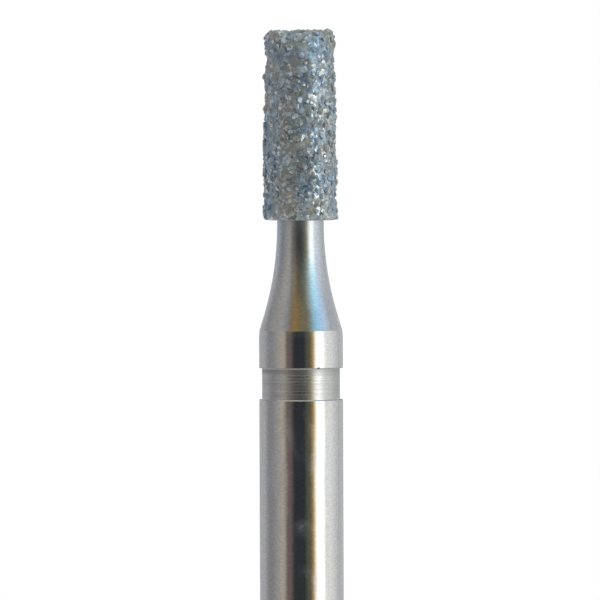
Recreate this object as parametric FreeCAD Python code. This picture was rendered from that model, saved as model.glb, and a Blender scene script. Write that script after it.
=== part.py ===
import FreeCAD, Part
import math
import os
import random

# A friction-grip dental bur: a blank turned from one piece of steel, and the layer of
# diamond grains that nickel plating holds on its head.
# Sizes are in millimetres. +Z runs along the axis, from the free end of the shank to the
# tip of the head. The origin is the centre of the flat face at the shank's free end.

# Shank, which the handpiece grips
overall_length = 19.0
shank_diameter = 1.60
shank_end_chamfer = 0.12

# Ring groove, with the fine rings that turning leaves on its floor, and the collar above it
groove_width = 0.60
groove_depth = 0.057
turning_feed = 0.06
turning_mark_depth = 0.003
edge_break = 0.018
collar_length = 0.714
shoulder_crown_length = 0.13
shoulder_crown_drop = 0.013

# Neck, which flares from the head down to the shoulder
neck_length = 2.10
neck_diameter = 0.890
neck_cone_angle = 16.5
neck_arc_radius = 5.4

# Nickel bond of the head: its surface between the grains, and how thinly it covers the core
head_length = 3.64
bond_base_diameter = 1.32
bond_tip_diameter = 1.22
bond_base_edge_radius = 0.09
bond_tip_edge_radius = 0.13
bond_thickness = 0.06

# Diamond grains, which stand out of the bond
grain_height = 0.075
lowest_grain_share = 0.6
lowest_top_share = 0.8
grain_facet = 0.080
grain_scatter = 0.22
grain_top_points = (1, 2, 3, 3, 3)
smooth_base_rings = 2
fewest_ring_points = 6
grain_seed = 835

# How closely points are taken as one, and how much of a straight run a fillet may take
sewing_tolerance = 1e-5
fillet_room_share = 0.95

# Places along the axis
tip_z = overall_length
head_base_z = tip_z - head_length
shoulder_z = head_base_z - neck_length
groove_top_z = shoulder_z - collar_length
groove_bottom_z = groove_top_z - groove_width
bond_tip_z = tip_z - grain_height
core_base_z = head_base_z + bond_thickness
core_tip_z = bond_tip_z - bond_thickness

# Radii
shank_radius = shank_diameter / 2
groove_radius = shank_radius - groove_depth
shoulder_radius = shank_radius - shoulder_crown_drop
neck_radius = neck_diameter / 2
bond_base_radius = bond_base_diameter / 2
bond_tip_radius = bond_tip_diameter / 2
core_radius = bond_tip_radius - bond_thickness
core_chamfer = bond_tip_edge_radius - bond_thickness

# Distance between the rings of grain points along the outline of the head
ring_step = grain_facet * math.sqrt(3) / 2


def vector(radius, z):
    """A point of the half section, in the XZ plane."""
    return FreeCAD.Vector(radius, 0, z)


def rounded_edges(corners):
    """Straight runs between (radius, z, fillet) corners, where each fillet is a tangent arc.

    A fillet that is too large for the runs beside it is limited by them.
    """
    points = [vector(radius, z) for radius, z, _ in corners]
    edges = []
    start = points[0]
    for k in range(1, len(points) - 1):
        here, following, fillet = points[k], points[k + 1], corners[k][2]
        if fillet == 0:
            edges.append(Part.LineSegment(start, here).toShape())
            start = here
            continue
        back = (points[k - 1] - here).normalize()
        ahead = (following - here).normalize()
        half_turn = (math.pi - back.getAngle(ahead)) / 2
        room = fillet_room_share * min(start.distanceToPoint(here), here.distanceToPoint(following))
        reach = min(fillet * math.tan(half_turn), room)
        radius = reach / math.tan(half_turn)
        towards_centre = (back + ahead).normalize()
        middle = here + towards_centre * (radius / math.cos(half_turn) - radius)
        edges.append(Part.LineSegment(start, here + back * reach).toShape())
        start = here + ahead * reach
        edges.append(Part.Arc(here + back * reach, middle, start).toShape())
    edges.append(Part.LineSegment(start, points[-1]).toShape())
    return edges


def turning_marks():
    """The floor of the groove: shallow arcs side by side, one for each turn of the work."""
    count = round(groove_width / turning_feed)
    feed = groove_width / count
    arcs = []
    for k in range(count):
        start_z = groove_bottom_z + k * feed
        middle = vector(groove_radius - turning_mark_depth, start_z + feed / 2)
        arc = Part.Arc(vector(groove_radius, start_z), middle, vector(groove_radius, start_z + feed))
        arcs.append(arc.toShape())
    return arcs


def steel_blank():
    """Shank, groove, collar, flared neck and the core of the head, turned as one piece."""
    shank = rounded_edges([
        (0, 0, 0),
        (shank_radius - shank_end_chamfer, 0, 0),
        (shank_radius, shank_end_chamfer, 0),
        (shank_radius, groove_bottom_z - edge_break, 0),
        (shank_radius - edge_break, groove_bottom_z, 0),
        (groove_radius, groove_bottom_z, 0),
    ])
    cone_rise = (shoulder_radius - neck_radius) / math.tan(math.radians(neck_cone_angle))
    collar_neck_and_core = rounded_edges([
        (groove_radius, groove_top_z, 0),
        (shank_radius - edge_break, groove_top_z, 0),
        (shank_radius, groove_top_z + edge_break, 0),
        (shank_radius, shoulder_z - shoulder_crown_length, 0),
        (shoulder_radius, shoulder_z, 0),
        (neck_radius, shoulder_z + cone_rise, neck_arc_radius),
        (neck_radius, core_base_z, 0),
        (core_radius, core_base_z, 0),
        (core_radius, core_tip_z - core_chamfer, 0),
        (core_radius - core_chamfer, core_tip_z, 0),
        (0, core_tip_z, 0),
    ])
    axis = Part.LineSegment(vector(0, core_tip_z), vector(0, 0)).toShape()
    face = Part.Face(Part.Wire(shank + turning_marks() + collar_neck_and_core + [axis]))
    return face.revolve(FreeCAD.Vector(0, 0, 0), FreeCAD.Vector(0, 0, 1), 360)


def bond_outline():
    """The surface of the bond between the grains, from under the head to the tip's centre."""
    return Part.Wire(rounded_edges([
        (bond_base_radius - bond_base_edge_radius, head_base_z, 0),
        (bond_base_radius, head_base_z, bond_base_edge_radius),
        (bond_tip_radius, bond_tip_z, bond_tip_edge_radius),
        (0, bond_tip_z, 0),
    ]))


def ring_round_axis(place, along, first_turn, scatter, chance):
    """A ring of (angle, point, outward direction), each point moved a little off its even place."""
    count = max(fewest_ring_points, round(2 * math.pi * place.x / grain_facet))
    outward = FreeCAD.Vector(along.z, 0, -along.x)
    ring = []
    for k in range(count):
        turn = k + first_turn + chance.uniform(-grain_scatter, grain_scatter)
        spin = FreeCAD.Rotation(FreeCAD.Vector(0, 0, 1), 360 * turn / count)
        moved = place + along * (ring_step * chance.uniform(-scatter, scatter))
        ring.append((2 * math.pi * turn / count, spin.multVec(moved), spin.multVec(outward)))
    return ring


def surface_rings(chance):
    """Rings of points up the bond's outline, in a pattern of triangles with grain_facet sides."""
    outline = bond_outline()
    places = outline.discretize(Number=round(outline.Length / ring_step) + 1)
    rings = []
    for k in range(len(places) - 1):
        along = (places[k + 1] - places[max(k - 1, 0)]).normalize()
        half_step = (k % 2) / 2
        scatter = grain_scatter if k >= smooth_base_rings else 0
        rings.append(ring_round_axis(places[k], along, half_step, scatter, chance))
    return rings


def stitched(lower, upper, first_lower, first_upper):
    """Triangles between two rings, each time stepping on along the ring that lags."""
    triangles = []
    n, m = len(lower), len(upper)
    i = j = 0
    while i < n or j < m:
        low, high = first_lower + i % n, first_upper + j % m
        next_low = lower[(i + 1) % n][0] + 2 * math.pi * ((i + 1) // n)
        next_high = upper[(j + 1) % m][0] + 2 * math.pi * ((j + 1) // m)
        if i < n and (j == m or next_low <= next_high):
            i += 1
            triangles.append((low, first_lower + i % n, high))
        else:
            j += 1
            triangles.append((low, first_upper + j % m, high))
    return triangles


def grain_tops(triangles, fixed, chance):
    """Groups of one to three touching points, no two groups touching: one group tops a grain."""
    around = {}
    for triangle in triangles:
        for corner in triangle:
            around.setdefault(corner, set()).update(triangle)
    order = sorted(around)
    chance.shuffle(order)
    used = set(fixed)
    tops = []
    for first in order:
        if first in used:
            continue
        top = [first]
        size = chance.choice(grain_top_points)
        for other in sorted(around[first] - used - {first}):
            if len(top) < size and all(other in around[member] for member in top):
                top.append(other)
        for member in top:
            used |= around[member]
        tops.append(top)
    return tops


def grain_solid():
    """The head as a closed solid of small facets, with the grains standing out of the bond."""
    chance = random.Random(grain_seed)
    rings = surface_rings(chance)
    starts = [sum(len(ring) for ring in rings[:k]) for k in range(len(rings))]
    points = [point for ring in rings for _, point, _ in ring]
    outward = [direction for ring in rings for _, _, direction in ring]
    triangles = []
    for k in range(len(rings) - 1):
        triangles += stitched(rings[k], rings[k + 1], starts[k], starts[k + 1])
    last, count = starts[-1], len(rings[-1])
    points.append(vector(0, bond_tip_z))
    outward.append(FreeCAD.Vector(0, 0, 1))
    triangles += [(last + k, last + (k + 1) % count, len(points) - 1) for k in range(count)]
    for top in grain_tops(triangles, range(starts[smooth_base_rings]), chance):
        height = grain_height * chance.uniform(lowest_grain_share, 1)
        for member in top:
            points[member] += outward[member] * (height * chance.uniform(lowest_top_share, 1))
    points.append(vector(0, head_base_z))
    rim = range(len(rings[0]))
    triangles += [((k + 1) % len(rim), k, len(points) - 1) for k in rim]
    surface = Part.Shape()
    surface.makeShapeFromMesh((points, triangles), sewing_tolerance)
    return Part.Solid(Part.Shell(surface.Faces))


def diamond_layer(blank):
    """The plated layer, open underneath for the neck and seated on the core all round."""
    return grain_solid().cut(blank)


def main():
    os.makedirs("parts", exist_ok=True)
    blank = steel_blank()
    layer = diamond_layer(blank)
    blank.exportStep("parts/steel_blank.step")
    layer.exportStep("parts/diamond_layer.step")


main()
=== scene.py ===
import bpy
import math
import numpy as np
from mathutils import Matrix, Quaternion, Vector


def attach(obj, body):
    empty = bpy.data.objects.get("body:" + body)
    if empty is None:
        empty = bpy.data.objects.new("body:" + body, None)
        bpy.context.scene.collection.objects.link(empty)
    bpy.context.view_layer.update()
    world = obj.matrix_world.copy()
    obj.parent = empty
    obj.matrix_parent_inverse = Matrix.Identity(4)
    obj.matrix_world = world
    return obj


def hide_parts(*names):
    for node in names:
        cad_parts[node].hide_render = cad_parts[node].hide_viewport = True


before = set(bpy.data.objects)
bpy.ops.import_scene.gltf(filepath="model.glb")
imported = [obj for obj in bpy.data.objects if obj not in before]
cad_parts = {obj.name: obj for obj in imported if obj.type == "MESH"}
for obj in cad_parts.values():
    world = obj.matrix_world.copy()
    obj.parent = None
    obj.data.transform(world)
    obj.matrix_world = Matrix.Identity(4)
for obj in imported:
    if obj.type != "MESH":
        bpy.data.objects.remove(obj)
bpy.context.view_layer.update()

# A friction-grip dental bur: a blank turned and ground from one piece of steel, whose head
# is coated with diamond grains in electroplated nickel. Sizes are in metres and angles in
# degrees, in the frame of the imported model: +Z runs from the free end of the shank to the tip
# of the head.

MM = 0.001

# Steel blank
shank_radius = 0.80 * MM
shank_end_chamfer = 0.12 * MM
groove_bottom_z = 11.946 * MM
groove_top_z = 12.546 * MM
groove_radius = 0.743 * MM
groove_corner_fillet = 0.012 * MM
edge_break = 0.016 * MM
edge_fillet = 0.012 * MM
shoulder_z = 13.26 * MM
shoulder_radius = 0.790 * MM
shoulder_crown_length = 0.13 * MM
neck_radius = 0.445 * MM
neck_cone_angle = 16.5
neck_arc_radius = 6.0 * MM

# Turned floor of the groove, whose dips are each a random share of the full mark depth
turning_feed = 0.06 * MM
turning_mark_depth = 0.003 * MM
turning_mark_shares = (0.1, 0.7)
ripple_depth_share = 0.05
ripples_per_feed = 3.3
groove_floor_points = 100
groove_floor_allowance = 0.001 * MM
groove_floor_seed = 61

# A small dent in the collar's lower edge, whose metal moves up dent_rise times as far as in
dent_azimuth = 24.5
dent_depth = 0.024 * MM
dent_reach = 0.017 * MM
dent_rise = 0.4

# Between which depths under the groove's top its floor turns duller
groove_shade_depths = (0.17 * MM, 0.06 * MM)

# A faint smear on the front of the shank
smear_place = (0.02 * MM, -0.80 * MM, 9.55 * MM)
smear_reach = 0.20 * MM

# Nickel bond of the head, and the cells of its lumps and ripple, round the head and up it
head_base_z = 15.36 * MM
bond_tip_z = 18.905 * MM
bond_base_radius = 0.662 * MM
bond_tip_radius = 0.604 * MM
bond_base_edge_radius = 0.065 * MM
bond_tip_edge_radius = 0.13 * MM
bond_thickness = 0.06 * MM
bond_rise = 0.030 * MM
bond_lump_height = 0.072 * MM
bond_lump_cells = (15, 17)
bond_ripple_height = 0.026 * MM
bond_ripple_cells = (38, 44)
bond_seed = 17

# Form of the diamond grains
grain_count = 1100
grain_least_radius = 0.052 * MM
grain_largest_radius = 0.105 * MM
grain_radius_lean = 1.3
grain_largest_height = 0.055 * MM
grain_flatness = 0.85
grain_tip_cuts = (0.35, 0.9)
grain_stretches = (0.62, 1.25)
grain_seed = 2025

# Places of the diamond grains, and how squarely a facet has to face outwards before it flashes
grain_clear_of_base = 0.02 * MM
grain_last_share = 0.998
grain_reach = 1.6
grain_push = 0.05
grain_rounds = 40
grain_least_swing = 0.05 * MM
mask_edge_height = 0.01 * MM
flash_from = 0.78
flash_range = 0.12

# How finely the surfaces are cut: segments round the axis, and the longest runs up an outline
blank_segments = 256
bond_segments = 300
stage_segments = 96
shank_end_run = 0.05 * MM
plain_shank_run = 0.25 * MM
plain_shank_margin = 0.5 * MM
upper_blank_run = 0.03 * MM
bond_run = 0.018 * MM
fewest_arc_points = 4
arc_points_per_radian = 8

# View of the photograph, with the bur view_shift of its pixels right of the middle
photo_scale = 0.01905 * MM
photo_height = 600
view_centre_z = 13.84 * MM
view_distance = 150 * MM
view_looks_down = 1.2
view_roll = 0.20
view_shift = 0.65


def filleted(corners, longest_run):
    """Points of a half section along straight runs between (radius, z, fillet) corners.

    A fillet is an arc tangent to both its runs: the arc's centre, plus the fillet's radius
    times the unit vectors spread evenly from one tangent point to the other. Every run is
    then cut evenly, so that its points are at most longest_run apart.
    """
    here = np.array([corner[:2] for corner in corners])
    pieces = [here[:1]]
    for k in range(1, len(corners) - 1):
        fillet = corners[k][2]
        if fillet == 0:
            pieces.append(here[k:k + 1])
            continue
        back, ahead = here[k - 1] - here[k], here[k + 1] - here[k]
        back, ahead = back / np.linalg.norm(back), ahead / np.linalg.norm(ahead)
        half_turn = (math.pi - math.acos(np.clip(back @ ahead, -1, 1))) / 2
        turn = 2 * half_turn
        centre = here[k] + (back + ahead) / np.linalg.norm(back + ahead) * fillet / math.cos(half_turn)
        first = here[k] + back * fillet * math.tan(half_turn) - centre
        last = here[k] + ahead * fillet * math.tan(half_turn) - centre
        arc_points = max(
            fewest_arc_points,
            round(turn * arc_points_per_radian),
            round(turn * fillet / longest_run) + 1,
        )
        share = np.linspace(0, 1, arc_points)[:, None]
        bow = np.sin((1 - share) * turn) * first + np.sin(share * turn) * last
        pieces.append(centre + bow / math.sin(turn))
    pieces.append(here[-1:])
    return subdivided(np.vstack(pieces), longest_run)


def subdivided(points, longest_run):
    """The same outline, with each run cut evenly so that no run is longer than longest_run."""
    lengths = np.linalg.norm(np.diff(points, axis=0), axis=1)
    cuts = np.maximum(1, np.ceil(lengths / longest_run)).astype(int)
    run = np.repeat(np.arange(len(cuts)), cuts)
    share = (np.arange(len(run)) - np.repeat(np.cumsum(cuts) - cuts, cuts)) / cuts[run]
    made = points[run] + (points[run + 1] - points[run]) * share[:, None]
    return np.vstack([made, points[-1:]])


def way_along(outline):
    """How far each point is from the outline's start, as the sum of the runs before it."""
    return np.concatenate([[0], np.cumsum(np.linalg.norm(np.diff(outline, axis=0), axis=1))])


def round_axis(radius, z, angle):
    """Points (r sin t, -r cos t, z), so that angle 0 faces the camera and +X is to its right."""
    return np.stack(np.broadcast_arrays(radius * np.sin(angle), -radius * np.cos(angle), z), axis=-1)


def full_turn(segments):
    """The angles of this many even segments, in radians from 0."""
    return 2 * np.pi * np.arange(segments) / segments


def ring_quads(rings, segments):
    """Quads that join each ring of points to the next, and face outwards where rings rise.

    Point j of ring i has the number i * segments + j.
    """
    index = np.arange(rings * segments).reshape(rings, segments)
    following = np.roll(index, -1, axis=1)
    return np.stack([index[:-1], following[:-1], following[1:], index[1:]], axis=-1).reshape(-1, 4)


def cap_triangles(first, segments, pole):
    """Triangles that close the ring of points from number first on with the point pole."""
    ring = first + np.arange(segments)
    return np.stack([ring, np.roll(ring, -1), np.full(segments, pole)], axis=-1)


def turned(outline, segments):
    """Carries an outline of (radius, z), which starts and ends on the axis, round the Z axis.

    Each point becomes a ring, but for the first and the last, which stay one point each.
    Returns the points, and quads and end triangles that face outwards.
    """
    rings = round_axis(outline[1:-1, :1], outline[1:-1, 1:], full_turn(segments)).reshape(-1, 3)
    points = np.vstack([rings, [[0, 0, outline[0, 1]]], [[0, 0, outline[-1, 1]]]])
    quads = ring_quads(len(outline) - 2, segments)
    low = cap_triangles(0, segments, len(rings))[:, [1, 0, 2]]
    high = cap_triangles(len(rings) - segments, segments, len(rings) + 1)
    return points, quads.tolist() + low.tolist() + high.tolist()


def new_object(name, points, faces, material):
    """A mesh object of these points and faces, with its material."""
    mesh = bpy.data.meshes.new(name)
    mesh.from_pydata(points.tolist(), [], faces)
    mesh.materials.append(material)
    made = bpy.data.objects.new(name, mesh)
    bpy.context.collection.objects.link(made)
    return made


def new_piece(name, surface, material, smooth):
    """An object of this surface, which is its points and faces, riding on the bur's body."""
    points, faces = surface
    piece = new_object(name, points, faces, material)
    piece.data.polygons.foreach_set("use_smooth", np.full(len(faces), smooth))
    piece.data.update()
    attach(piece, "root")
    return piece


def value_noise(u, v, columns, rows, chance):
    """Smooth random values between 0 and 1 that repeat once round in u.

    A random value stands at each crossing of a columns by rows grid, and the values between
    are mixed with the weights 3 t^2 - 2 t^3. u and v run from 0 to 1.
    """
    grid = chance.random((columns, rows + 1))
    across, up = u * columns, np.clip(v, 0, 0.9999) * rows
    i, j = np.floor(across).astype(int), np.floor(up).astype(int)
    s, t = across - i, up - j
    s, t = s * s * (3 - 2 * s), t * t * (3 - 2 * t)
    i, following = i % columns, (i + 1) % columns
    low = grid[i, j] * (1 - s) + grid[following, j] * s
    high = grid[i, j + 1] * (1 - s) + grid[following, j + 1] * s
    return low * (1 - t) + high * t


def blank_outline():
    """Half section of the steel from the shank's end to under the head, with its small roundings."""
    cone_rise = (shoulder_radius - neck_radius) / math.tan(math.radians(neck_cone_angle))
    hidden_z = head_base_z + bond_thickness / 2
    plain_from, plain_to = plain_shank_margin, groove_bottom_z - plain_shank_margin
    shank_end = filleted([
        (0, 0, 0),
        (shank_radius - shank_end_chamfer, 0, edge_fillet),
        (shank_radius, shank_end_chamfer, edge_fillet * 2),
        (shank_radius, plain_from, 0),
    ], shank_end_run)
    plain = subdivided(np.array([(shank_radius, plain_from), (shank_radius, plain_to)]), plain_shank_run)
    upper = filleted([
        (shank_radius, plain_to, 0),
        (shank_radius, groove_bottom_z, edge_break),
        (groove_radius, groove_bottom_z, groove_corner_fillet),
        (groove_radius, groove_top_z, groove_corner_fillet),
        (shank_radius, groove_top_z, edge_break),
        (shank_radius, shoulder_z - shoulder_crown_length, shoulder_crown_length),
        (shoulder_radius, shoulder_z, edge_fillet),
        (neck_radius, shoulder_z + cone_rise, neck_arc_radius),
        (neck_radius, hidden_z, 0),
        (0, hidden_z, 0),
    ], upper_blank_run)
    outline = np.vstack([shank_end, plain[1:], upper[1:]])
    radius, z = outline.T
    floor = (z > groove_bottom_z) & (z < groove_top_z) & (radius < groove_radius + groove_floor_allowance)
    first, last = np.flatnonzero(floor)[[0, -1]]
    return np.vstack([outline[:first + 1], groove_floor(z[first], z[last]), outline[last:]])


def groove_floor(low_z, high_z):
    """The turned floor: a radius that dips as |sin| between crests one feed apart.

    Each dip has its own random depth, and a much finer sine ripple lies on top.
    """
    chance = np.random.default_rng(groove_floor_seed)
    z = np.linspace(low_z, high_z, groove_floor_points)[1:-1]
    phase = (z - low_z) / turning_feed
    dip = np.floor(phase).astype(int)
    depth = turning_mark_depth * chance.uniform(*turning_mark_shares, dip[-1] + 1)[dip]
    ripple = ripple_depth_share * turning_mark_depth * np.sin(2 * np.pi * phase * ripples_per_feed)
    radius = groove_radius - depth * np.abs(np.sin(np.pi * phase)) + ripple
    return np.stack([radius, z], axis=-1)


def dent_place():
    """The middle of the dent, on the collar's lower edge."""
    turn = math.radians(dent_azimuth)
    return shank_radius * math.sin(turn), -shank_radius * math.cos(turn), groove_top_z


def steel_surface():
    """The blank's outline turned round the axis, with the dent in its collar.

    Points near the dent's place move in and up, by a bell curve of their distance from it.
    """
    points, faces = turned(blank_outline(), blank_segments)
    turn = math.radians(dent_azimuth)
    gap = np.linalg.norm(points - np.array(dent_place()), axis=1)
    push = np.array([-math.sin(turn), math.cos(turn), dent_rise]) * dent_depth
    return points + np.exp(-(gap / dent_reach) ** 2)[:, None] * push, faces


def bond_outline():
    """Half section of the nickel, from under the head, round its corner, and up to the tip's centre."""
    return filleted([
        (0, head_base_z, 0),
        (bond_base_radius, head_base_z, bond_base_edge_radius),
        (bond_tip_radius, bond_tip_z, bond_tip_edge_radius),
        (0, bond_tip_z, 0),
    ], bond_run)


def bond_lift(turn, share):
    """How far the nickel stands out: broad lumps and a fine ripple, two sizes of value noise."""
    chance = np.random.default_rng(bond_seed)
    lumps = value_noise(turn, share, *bond_lump_cells, chance) - 0.5
    ripple = value_noise(turn, share, *bond_ripple_cells, chance) - 0.5
    return bond_rise + bond_lump_height * lumps + bond_ripple_height * ripple


def placed(outline, share, turn):
    """Points on the turned outline, pushed outwards by the bond's lift, and their outward directions.

    share is the way along the outline from 0 to 1, and turn the way round it. The outward
    direction is the outline's slope turned a quarter. The lift starts from nothing at the base.
    """
    along = way_along(outline)
    along /= along[-1]
    slope = np.gradient(outline, along, axis=0)
    radius, z = (np.interp(share, along, column) for column in outline.T)
    slope_r, slope_z = (np.interp(share, along, column) for column in slope.T)
    length = np.hypot(slope_r, slope_z)
    angle = 2 * np.pi * turn
    outward = round_axis(slope_z / length, -slope_r / length, angle)
    lift = bond_lift(turn, share) * np.clip((z - head_base_z) / bond_base_edge_radius, 0, 1)
    return round_axis(radius, z, angle) + outward * lift[..., None], outward


def bond_surface():
    """The bond's outline turned round the axis, with every point moved out by the bond's lift."""
    outline = bond_outline()
    points, faces = turned(outline, bond_segments)
    along = way_along(outline)
    share = np.repeat((along / along[-1])[1:-1], bond_segments)
    turn = np.tile(np.arange(bond_segments) / bond_segments, len(outline) - 2)
    points[:-2] = placed(outline, share, turn)[0]
    return points, faces


def grain_places(chance):
    """Places and outward directions of the grains, spread evenly over the bond.

    Each place is a share of the way along the bond's outline and a turn round it. Shares are
    drawn so that every area has its part, then for some rounds each place is pushed away from
    those nearer than its reach, by a step that falls evenly to nothing at the reach. Close to
    the axis, a push turns a place as it would at the least swing.
    """
    outline = bond_outline()
    along = way_along(outline)
    total = along[-1]
    clear = bond_base_radius + grain_clear_of_base
    area = np.concatenate([[0], np.cumsum((outline[1:, 0] + outline[:-1, 0]) * np.diff(along))])
    first = np.interp(clear, along, area)
    share = np.interp(first + chance.random(grain_count) * (area[-1] - first), area, along) / total
    turn = chance.random(grain_count)
    reach = grain_reach * math.sqrt(math.pi * (area[-1] - first) / grain_count)
    for _ in range(grain_rounds):
        place, outward = placed(outline, share, turn)
        angle = 2 * np.pi * turn
        sideways = np.stack([np.cos(angle), np.sin(angle), 0 * angle], axis=-1)
        upwards = np.cross(outward, sideways)
        apart = place[:, None] - place[None]
        gap = np.linalg.norm(apart, axis=-1) + np.eye(grain_count)
        weight = np.clip(1 - gap / reach, 0, None) / gap
        push = (apart * weight[..., None]).sum(axis=1) * reach * grain_push
        swing = np.maximum(np.hypot(place[:, 0], place[:, 1]), grain_least_swing)
        share = np.clip(share + (push * upwards).sum(axis=1) / total, clear / total, grain_last_share)
        turn = turn + (push * sideways).sum(axis=1) / (2 * np.pi * swing)
    return placed(outline, share, turn % 1)


def crystal_form():
    """Corners and faces of an octahedron with its six tips cut off, as diamond grit has.

    A corner is 1 along one axis and t along another, each with either sign. The four corners
    that share their 1 make a small square, and the six with the signs of one octant a hexagon.
    Returns the two parts of the corners, the one to be multiplied by t last, and the faces.
    """
    pairs = [(0, 1), (1, 0), (1, 2), (2, 1), (2, 0), (0, 2)]
    signs = [(1, 1), (1, -1), (-1, -1), (-1, 1)]
    corners = [(a, b, s, t) for a, b in pairs for s, t in signs]
    whole, part = np.zeros((len(corners), 3)), np.zeros((len(corners), 3))
    for row, (a, b, s, t) in enumerate(corners):
        whole[row, a] = s
        part[row, b] = t
    faces = []
    for axis in range(3):
        one, other = (axis + 1) % 3, (axis + 2) % 3
        for s in (1, -1):
            ring = [(one, 1), (other, 1), (one, -1), (other, -1)]
            faces.append([corners.index((axis, b, s, t)) for b, t in ring])
    for octant in np.ndindex(2, 2, 2):
        sign = [1 - 2 * bit for bit in octant]
        faces.append([corners.index((a, b, sign[a], sign[b])) for a, b in pairs])
    shape = whole + 0.5 * part
    for k, face in enumerate(faces):
        normal = np.cross(shape[face[1]] - shape[face[0]], shape[face[2]] - shape[face[1]])
        if normal @ shape[face].mean(axis=0) < 0:
            faces[k] = face[::-1]
    return whole, part, faces


def random_turns(count, chance):
    """Rotation matrices of evenly spread random turns, from unit quaternions (w, x, y, z)."""
    q = chance.normal(size=(count, 4))
    w, x, y, z = (q / np.linalg.norm(q, axis=1)[:, None]).T
    return np.stack([
        np.stack([1 - 2 * (y * y + z * z), 2 * (x * y - z * w), 2 * (x * z + y * w)], axis=-1),
        np.stack([2 * (x * y + z * w), 1 - 2 * (x * x + z * z), 2 * (y * z - x * w)], axis=-1),
        np.stack([2 * (x * z - y * w), 2 * (y * z + x * w), 1 - 2 * (x * x + y * y)], axis=-1),
    ], axis=1)


def grain_surface():
    """All grains as one mesh, and for each face its tint, whose alpha lets it flash or not.

    A grain is the crystal form with its own t, stretched along its axes, turned at random and
    scaled to its size. Its length along the outward direction is then cut to a share, and it
    moves along that direction until its highest corner stands at the grain's height above the
    bond. No corner is lower than the flat edge where the plating was masked. The alpha rises
    from 0 to 1 as a face looks more squarely outwards.
    """
    chance = np.random.default_rng(grain_seed)
    place, normal = grain_places(chance)
    whole, part, form_faces = crystal_form()
    cut = chance.uniform(*grain_tip_cuts, grain_count)[:, None, None]
    stretch = chance.uniform(*grain_stretches, (grain_count, 1, 3))
    lean = chance.random(grain_count)[:, None, None] ** grain_radius_lean
    size = grain_least_radius + (grain_largest_radius - grain_least_radius) * lean
    corners = (whole[None] + cut * part[None]) * stretch * size
    corners = np.einsum("gij,gkj->gki", random_turns(grain_count, chance), corners)
    out = np.einsum("gki,gi->gk", corners, normal)
    corners -= ((1 - grain_flatness) * out)[..., None] * normal[:, None]
    reach = grain_flatness * out.max(axis=1)
    height = chance.uniform(0, grain_largest_height, grain_count)
    points = corners + (place + normal * (height - reach)[:, None])[:, None]
    points[..., 2] = np.maximum(points[..., 2], head_base_z + mask_edge_height)
    offsets = len(whole) * np.arange(grain_count)
    faces = [[corner + offset for corner in face] for offset in offsets.tolist() for face in form_faces]
    a, b, c = np.moveaxis(points[:, [face[:3] for face in form_faces]], 2, 0)
    facing = np.cross(b - a, c - b)
    length = np.linalg.norm(facing, axis=-1, keepdims=True)
    square = (facing / np.maximum(length, np.finfo(float).tiny) * normal[:, None]).sum(axis=-1)
    tints = grain_tints(grain_count, len(form_faces), chance)
    tints[:, 3] = np.clip((square - flash_from) / flash_range, 0, 1).ravel()
    return points.reshape(-1, 3), faces, tints


def grain_tints(count, faces_each, chance):
    """A colour for each face: the grain's own colour, times a brightness of that facet."""
    kinds = np.array([
        (0.120, 0.172, 0.202),
        (0.090, 0.150, 0.200),
        (0.160, 0.168, 0.155),
        (0.065, 0.150, 0.250),
        (0.260, 0.185, 0.110),
        (0.225, 0.295, 0.330),
    ])
    kind = chance.choice(len(kinds), size=count, p=(0.44, 0.27, 0.14, 0.08, 0.015, 0.055))
    tone = kinds[kind] * chance.uniform(0.93, 1.07, (count, 1))
    facet = chance.uniform(0.86, 1.14, (count, faces_each, 1))
    colour = np.clip(tone[:, None] * facet, 0, 1).reshape(-1, 3)
    return np.hstack([colour, np.ones((len(colour), 1))])


class Term:
    """An output socket that takes part in sums: each operator adds one Math node."""

    def __init__(self, graph, socket):
        self.graph = graph
        self.socket = socket

    def math(self, operation, *others):
        return self.graph.math(operation, self, *others)

    def __add__(self, other):
        return self.math("ADD", other)

    def __sub__(self, other):
        return self.math("SUBTRACT", other)

    def __rsub__(self, other):
        return self.graph.math("SUBTRACT", other, self)

    def __mul__(self, other):
        return self.math("MULTIPLY", other)

    def __truediv__(self, other):
        return self.math("DIVIDE", other)

    __radd__ = __add__
    __rmul__ = __mul__


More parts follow.
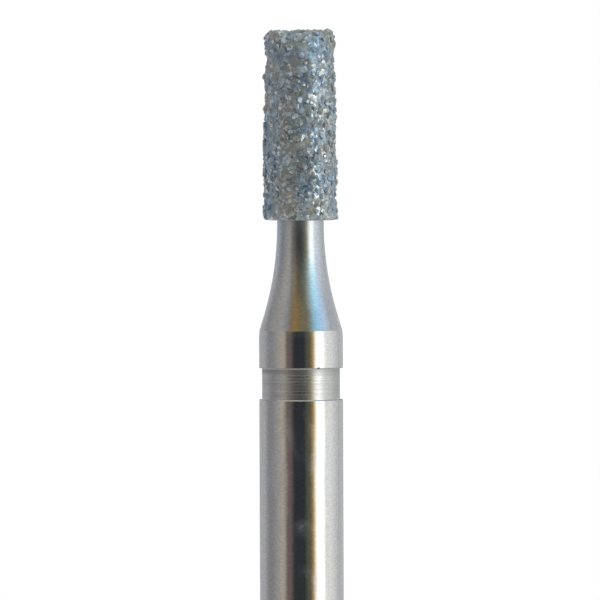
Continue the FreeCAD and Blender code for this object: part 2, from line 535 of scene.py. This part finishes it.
class Graph:
    """The nodes of one material or world."""

    def __init__(self, owner):
        owner.use_nodes = True
        self.tree = owner.node_tree
        self.tree.nodes.clear()

    def node(self, kind, settings=None, inputs=None):
        """A node of this type: its settings are set first, then its sockets' values or links."""
        node = self.tree.nodes.new(kind)
        for name, value in (settings or {}).items():
            if name == "stops":
                self.set_stops(node.color_ramp, value)
            else:
                setattr(node, name, value)
        for name, value in (inputs or {}).items():
            self.fill(node.inputs[name], value)
        return node

    def fill(self, socket, value):
        """Links a term to a socket, or sets the socket to a number or colour."""
        if isinstance(value, Term):
            self.tree.links.new(value.socket, socket)
        else:
            socket.default_value = value

    def set_stops(self, ramp, stops):
        """Makes a colour ramp's stops these (position, colour) pairs."""
        while len(ramp.elements) < len(stops):
            ramp.elements.new(1)
        for element, (position, colour) in zip(ramp.elements, stops):
            element.position = position
            element.color = (*colour, 1)

    def term(self, kind, output, settings=None, inputs=None):
        """One output of a new node, ready for sums or links."""
        return Term(self, self.node(kind, settings, inputs).outputs[output])

    def math(self, operation, *values):
        return self.term("ShaderNodeMath", 0, {"operation": operation}, dict(enumerate(values)))

    def place(self):
        """The place on the piece in metres, whole and as X, Y and Z."""
        spot = self.term("ShaderNodeTexCoord", "Object")
        split = self.node("ShaderNodeSeparateXYZ", None, {0: spot})
        return spot, *(Term(self, split.outputs[k]) for k in range(3))

    def noise(self, spot, per_metre, detail):
        """Noise with this many features a metre, the same on all axes or one number for each."""
        if isinstance(per_metre, tuple):
            spot = self.term("ShaderNodeMapping", 0, None, {"Vector": spot, "Scale": per_metre})
            per_metre = 1.0
        inputs = {"Vector": spot, "Scale": per_metre, "Detail": detail}
        return self.term("ShaderNodeTexNoise", 0, None, inputs)

    def distance(self, spot, place):
        """How far the spot is from a fixed place."""
        return self.term("ShaderNodeVectorMath", "Value", {"operation": "DISTANCE"}, {0: spot, 1: place})

    def between(self, share, low, high):
        """A number that goes from low to high as share goes from 0 to 1."""
        inputs = {"Value": share, "To Min": low, "To Max": high}
        return self.term("ShaderNodeMapRange", 0, {"clamp": True}, inputs)

    def soft_step(self, value, start, end):
        """0 up to the start, and 1 from the end on."""
        inputs = {"Value": value, "From Min": start, "From Max": end}
        return self.term("ShaderNodeMapRange", 0, {"clamp": True}, inputs)

    def blended(self, share, first, second):
        """A colour that goes from first to second as share goes from 0 to 1."""
        node = self.node("ShaderNodeMix", {"data_type": "RGBA"})
        sockets = {socket.name: socket for socket in node.inputs if socket.enabled}
        self.fill(sockets["Factor"], share)
        for name, colour in (("A", first), ("B", second)):
            self.fill(sockets[name], colour if isinstance(colour, Term) else (*colour, 1))
        return Term(self, next(socket for socket in node.outputs if socket.enabled))

    def surface(self, inputs):
        """A Principled surface as the material's output."""
        shader = self.term("ShaderNodeBsdfPrincipled", 0, None, inputs)
        self.node("ShaderNodeOutputMaterial", None, {"Surface": shader})


def ground_steel():
    """Bright steel, ground round and round, with fine rings and patches in its gloss.

    A fine grain and a faint film of colour vary its tone. The rings and long waves bend what
    it reflects a little. The floor of the groove is as the turning tool left it, with darker
    and duller lines, most of all near its top. The neck gets bluer and duller towards the
    head. The dent and its rim are darker brown. Smudges lie here and there, and the smear on the shank's
    front is broken up by a mottle.
    """
    material = bpy.data.materials.new("ground_steel")
    graph = Graph(material)
    spot, _, _, z = graph.place()
    groove = graph.soft_step(z, groove_bottom_z, groove_bottom_z + edge_break)
    groove = groove - graph.soft_step(z, groove_top_z + edge_break / 2, groove_top_z + edge_break * 1.5)
    groove_head = graph.soft_step(z, *(groove_top_z - depth for depth in groove_shade_depths))
    neck = graph.soft_step(z, shoulder_z, head_base_z)

    grain = graph.soft_step(graph.noise(spot, (15000, 15000, 26000), 1.0), 0.35, 0.65)
    film = graph.soft_step(graph.noise(spot, (4500, 4500, 1300), 2.0), 0.38, 0.62)
    bright = graph.blended(grain, (0.575, 0.575, 0.585), (0.725, 0.725, 0.725))
    tinted = graph.blended(film, (0.62, 0.61, 0.57), (0.60, 0.62, 0.66))
    colour = graph.blended(0.45, bright, tinted)
    lines = graph.noise(spot, (300, 300, 21000), 1.0)
    worn = graph.between(graph.soft_step(lines, 0.35, 0.65), 0.2, 0.55) + groove_head * 0.4
    colour = graph.blended(groove * worn, colour, (0.38, 0.38, 0.37))
    colour = graph.blended(neck * graph.between(grain, 0.58, 0.32), colour, (0.40, 0.50, 0.61))
    # Darker brown in and round the dent
    dent_brown = graph.soft_step(graph.distance(spot, dent_place()) / dent_reach, 2.2, 1.0)
    colour = graph.blended(dent_brown * 0.85, colour, (0.09, 0.05, 0.04))

    rings = graph.noise(spot, (900, 900, 60000), 3.0)
    patches = graph.noise(spot, (1400, 1400, 500), 2.0)
    gloss = graph.between(patches * 0.6 + rings * 0.4, 0.08, 0.18)
    smudge = graph.soft_step(graph.noise(spot, (1900, 1900, 900), 3.0), 0.53, 0.66)
    mottle = graph.noise(spot, (7000, 7000, 11000), 3.0)
    smear = graph.soft_step(graph.distance(spot, smear_place) / smear_reach + mottle * 1.6, 2.0, 0.8)
    marks = smudge * 0.13 + smear * 0.16
    waves = graph.noise(spot, (700, 700, 500), 1.0)
    graph.surface({
        "Base Color": colour,
        "Metallic": 1.0,
        "Roughness": gloss + groove * (worn * 0.2 + 0.09) + neck * neck * 0.18 + marks,
        "Normal": graph.term("ShaderNodeBump", 0, None, {
            "Height": rings * 0.015 + waves + groove * lines * 0.06, "Strength": 1.0, "Distance": 0.024 * MM,
        }),
    })
    return material


def grit_finish(graph, spot, body, shine_from, facing=1.0):
    """A matt, frosted, stone-like body with patches, and specks that shine like metal.

    Warm and cold patches colour the body, pale spots and dark clouds lie over them, and it
    shines where the speck noise is above shine_from, as far as facing allows.
    """
    hue = graph.noise(spot, 2500.0, 3.0)
    pale = graph.soft_step(graph.noise(spot, 7000.0, 1.0), 0.43, 0.62)
    cloud = graph.soft_step(graph.noise(spot, 2300.0, 2.0), 0.46, 0.60)
    body = graph.blended(graph.soft_step(hue, 0.52, 0.60) * 0.9, body, (0.175, 0.164, 0.114))
    body = graph.blended(graph.soft_step(hue, 0.48, 0.40) * 0.9, body, (0.066, 0.144, 0.245))
    body = graph.blended(pale * 0.45, body, (0.25, 0.32, 0.34))
    body = graph.blended(cloud * 0.55, body, (0.060, 0.082, 0.092))

    speck = graph.noise(spot, 12500.0, 3.0)
    shine = graph.soft_step(speck, shine_from, shine_from + 0.05) * facing
    fire = graph.soft_step(graph.noise(spot, 15000.0, 1.0), 0.42, 0.58)
    glint = graph.blended(fire, (0.38, 0.52, 0.65), (0.57, 0.57, 0.51))
    frost = graph.noise(spot, 48000.0, 2.0)
    graph.surface({
        "Base Color": graph.blended(shine, body, glint),
        "Metallic": shine * 0.85,
        "Roughness": graph.between(frost, 0.36, 0.52) - shine * 0.29,
        "IOR": 2.4,
        "Normal": graph.term("ShaderNodeBump", 0, None, {
            "Height": frost, "Strength": 0.35, "Distance": 0.003 * MM,
        }),
    })


def nickel_bond():
    """Electroplated nickel between the grains, slate grey and lumpy, with bright specks."""
    material = bpy.data.materials.new("nickel_bond")
    graph = Graph(material)
    spot, _, _, _ = graph.place()
    patches = graph.noise(spot, 5200.0, 2.0)
    body = graph.blended(patches, (0.110, 0.155, 0.182), (0.160, 0.195, 0.210))
    grit_finish(graph, spot, body, 0.51)
    return material


def diamond_grit():
    """Grey diamond: each facet has its own tint, and parts of the facets flash like glass."""
    material = bpy.data.materials.new("diamond_grit")
    graph = Graph(material)
    spot, _, _, _ = graph.place()
    tint = graph.node("ShaderNodeAttribute", {"attribute_name": "tint"})
    body, facing = Term(graph, tint.outputs["Color"]), Term(graph, tint.outputs["Alpha"])
    grit_finish(graph, spot, body, 0.47, facing)
    return material


# What stands round the bur and shows in its steel: tones as shares of the window's light, in
# bands by azimuth, where 0 is the camera's side and 90 is to its right
window_light = 2.2
window = (1.0, 1.0, 1.0)
far_strip = (0.57, 0.58, 0.60)
pale_wall = (0.48, 0.48, 0.47)
right_wall = (0.28, 0.29, 0.29)
grey_wall = (0.24, 0.24, 0.25)
warm_wall = (0.24, 0.22, 0.19)
cool_wall = (0.25, 0.26, 0.29)
mid_wall = (0.19, 0.19, 0.19)
slate_wall = (0.15, 0.15, 0.15)
shade_wall = (0.14, 0.14, 0.15)
dusk_wall = (0.14, 0.13, 0.12)
far_shade = (0.063, 0.068, 0.073)
plum_edge = (0.087, 0.068, 0.060)
dark_room = (0.016, 0.019, 0.021)
olive_edge = (0.051, 0.054, 0.039)
gold_edge = (0.22, 0.14, 0.06)
cream_edge = (0.60, 0.50, 0.29)
level_bands = [
    (-180, far_shade), (-175, far_shade), (-172, far_strip), (-167, far_strip), (-163, grey_wall),
    (-120, grey_wall), (-100, shade_wall), (-86, shade_wall), (-55, warm_wall), (-48, warm_wall),
    (-38.5, plum_edge), (-30, plum_edge), (-19, dark_room), (10, dark_room), (17, olive_edge),
    (25, olive_edge), (34, gold_edge), (40, cream_edge), (47.5, window), (61.5, window),
    (70.5, pale_wall), (86, pale_wall), (125, right_wall), (160, right_wall), (172, far_shade),
    (180, far_shade),
]
gold_light = (0.17, 0.12, 0.063)
brown_light = (0.063, 0.066, 0.054)
sage_light = (0.13, 0.14, 0.11)
mist_light = (0.27, 0.35, 0.37)
ice_light = (0.31, 0.54, 0.62)
lavender_light = (0.33, 0.44, 0.58)
middle_bands = [
    (-180, grey_wall), (-120, shade_wall), (-60, warm_wall), (-45, mid_wall), (-37, dusk_wall),
    (-24, gold_light), (-14, brown_light), (9, brown_light), (22, sage_light), (36, mist_light),
    (46, ice_light), (60, ice_light), (74, lavender_light), (102, cool_wall), (180, grey_wall),
]
bronze_light = (0.13, 0.098, 0.069)
amber_light = (0.17, 0.11, 0.043)
brass_light = (0.14, 0.094, 0.034)
moss_light = (0.11, 0.096, 0.057)
teal_light = (0.16, 0.31, 0.37)
blue_light = (0.20, 0.33, 0.48)
cloud_light = (0.33, 0.36, 0.40)
upper_bands = [
    (-180, grey_wall), (-120, shade_wall), (-60, mid_wall), (-44, slate_wall), (-31, bronze_light),
    (-19, amber_light), (-6, brass_light), (6, moss_light), (20, moss_light), (31, sage_light),
    (43, teal_light), (56, blue_light), (70, blue_light), (87, cloud_light), (104, cool_wall),
    (180, grey_wall),
]
below_light = (0.41, 0.41, 0.43)

# The tube that carries the bands, and between which heights they give way to one another
tube_radius = 100 * MM
tube_ends = (-260 * MM, 150 * MM)
level_to_middle = (26 * MM, 45 * MM)
middle_to_upper = (50 * MM, 72 * MM)
below_to_level = (-28 * MM, -5 * MM)
bands_far_below = 0.35

# The floor, which fades out between two distances from the bur
floor_radius = 60 * MM
floor_rings = 24
floor_below = 0.002 * MM
floor_fade = (18 * MM, 56 * MM)


def banded(graph, turn, bands):
    """The colour of these bands at a turn, where 0 and 1 are -180 and 180 degrees."""
    stops = [((degrees + 180) / 360, tone) for degrees, tone in bands]
    return graph.term("ShaderNodeValToRGB", 0, {"stops": stops}, {0: turn})


def bands_of_light():
    """Glow of the surroundings: a row of soft upright bands at each of three heights.

    The rows blend from one to the next as they rise, and fade into one even tone below the bur.
    """
    material = bpy.data.materials.new("bands_of_light")
    graph = Graph(material)
    _, x, y, z = graph.place()
    turn = x.math("ARCTAN2", y * -1) / (2 * math.pi) + 0.5
    level, middle, upper = (banded(graph, turn, row) for row in (level_bands, middle_bands, upper_bands))
    bands = graph.blended(graph.soft_step(z, *middle_to_upper), middle, upper)
    bands = graph.blended(graph.soft_step(z, *level_to_middle), level, bands)
    shown = graph.between(graph.soft_step(z, *below_to_level), bands_far_below, 1.0)
    glow = graph.term("ShaderNodeEmission", 0, None, {
        "Color": graph.blended(shown, below_light, bands), "Strength": window_light,
    })
    graph.node("ShaderNodeOutputMaterial", None, {"Surface": glow})
    return material


def surroundings():
    """A wide open tube round the bur, facing inwards, that only reflections see."""
    rings = round_axis(tube_radius, np.array(tube_ends)[:, None], full_turn(stage_segments))
    faces = ring_quads(2, stage_segments)[:, ::-1].tolist()
    tube = new_object("surroundings", rings.reshape(-1, 3), faces, bands_of_light())
    tube.visible_camera = False
    tube.visible_diffuse = False
    tube.visible_transmission = False
    tube.visible_shadow = False


def white_card():
    """White card that grows clearer between the two distances of the floor's fade."""
    material = bpy.data.materials.new("white_card")
    graph = Graph(material)
    _, x, y, _ = graph.place()
    away = (x * x + y * y).math("SQRT")
    fade = graph.term("ShaderNodeMapRange", 0, None, {
        "Value": away, "From Min": floor_fade[0], "From Max": floor_fade[1], "To Min": 1.0, "To Max": 0.0,
    })
    graph.surface({"Base Color": (0.93, 0.93, 0.93, 1), "Roughness": 0.9, "Alpha": fade})
    return material


def floor():
    """A white disc of rings under the bur, facing up, that keeps its shadow and fades out.

    Reflections don't see it, because the surroundings already hold what is below the bur.
    """
    radius = np.linspace(0, floor_radius, floor_rings)[1:, None]
    rings = round_axis(radius, -floor_below, full_turn(stage_segments)).reshape(-1, 3)
    points = np.vstack([rings, [[0, 0, -floor_below]]])
    quads = ring_quads(len(radius), stage_segments)[:, ::-1]
    middle = cap_triangles(0, stage_segments, len(rings))
    disc = new_object("floor", points, quads.tolist() + middle.tolist(), white_card())
    disc.visible_glossy = False


def white_world():
    """White for the camera, reflections and transmission, and a softer white as fill light."""
    world = bpy.data.worlds.new("white_room")
    bpy.context.scene.world = world
    graph = Graph(world)
    path = graph.node("ShaderNodeLightPath")
    names = ("Is Camera Ray", "Is Glossy Ray", "Is Transmission Ray")
    seen = sum(Term(graph, path.outputs[name]) for name in names).math("MINIMUM", 1.0)
    shade = graph.term("ShaderNodeBackground", 0, None, {
        "Color": (1, 1, 1, 1), "Strength": graph.between(seen, 0.55, 1.0),
    })
    graph.node("ShaderNodeOutputWorld", None, {"Surface": shade})


def lamp(name, azimuth, elevation, distance, size, watts, colour):
    """A square soft lamp that faces the bur from this azimuth and elevation.

    Reflections don't see it, so that the steel shows only the bands of its surroundings.
    """
    data = bpy.data.lights.new(name, "AREA")
    data.size = size
    data.energy = watts
    data.color = colour
    turn, rise = math.radians(azimuth), math.radians(elevation)
    away = Vector((math.sin(turn) * math.cos(rise), -math.cos(turn) * math.cos(rise), math.sin(rise)))
    light = bpy.data.objects.new(name, data)
    light.location = Vector((0, 0, view_centre_z)) + away * distance
    light.rotation_mode = "QUATERNION"
    light.rotation_quaternion = away.to_track_quat("Z", "Y")
    light.visible_glossy = False
    bpy.context.collection.objects.link(light)


def camera():
    """The photograph's view: straight on, a little from above, with its slight roll."""
    data = bpy.data.cameras.new("camera")
    half_height = photo_height / 2 * photo_scale
    data.sensor_width = 36
    data.lens = data.sensor_width / 2 / (half_height / view_distance)
    data.clip_start = 1 * MM
    data.clip_end = 10
    down = math.radians(view_looks_down)
    back = Vector((0, -math.cos(down), math.sin(down)))
    eye = bpy.data.objects.new("camera", data)
    eye.location = Vector((-view_shift * photo_scale, 0, view_centre_z)) + back * view_distance
    eye.rotation_mode = "QUATERNION"
    roll = Quaternion(back, math.radians(-view_roll))
    eye.rotation_quaternion = roll @ back.to_track_quat("Z", "Y")
    bpy.context.collection.objects.link(eye)
    bpy.context.scene.camera = eye


def build():
    """The three surfaces of the bur, and the stage round it."""
    blank = new_piece("steel_surface", steel_surface(), ground_steel(), True)
    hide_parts("steel_blank")
    bond = new_piece("nickel_bond", bond_surface(), nickel_bond(), True)
    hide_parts("diamond_layer")
    *grains, tints = grain_surface()
    grit = new_piece("diamond_grains", grains, diamond_grit(), False)
    attribute = grit.data.attributes.new("tint", "FLOAT_COLOR", "FACE")
    attribute.data.foreach_set("color", tints.ravel())
    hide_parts("diamond_layer")
    surroundings()
    floor()
    white_world()
    lamp("key", 62, 40, 140 * MM, size=70 * MM, watts=0.125, colour=(1.0, 0.99, 0.97))
    lamp("fill", -60, 35, 140 * MM, size=80 * MM, watts=0.024, colour=(0.95, 0.97, 1.0))
    camera()


build()
bpy.context.scene.view_settings.view_transform = "Standard"
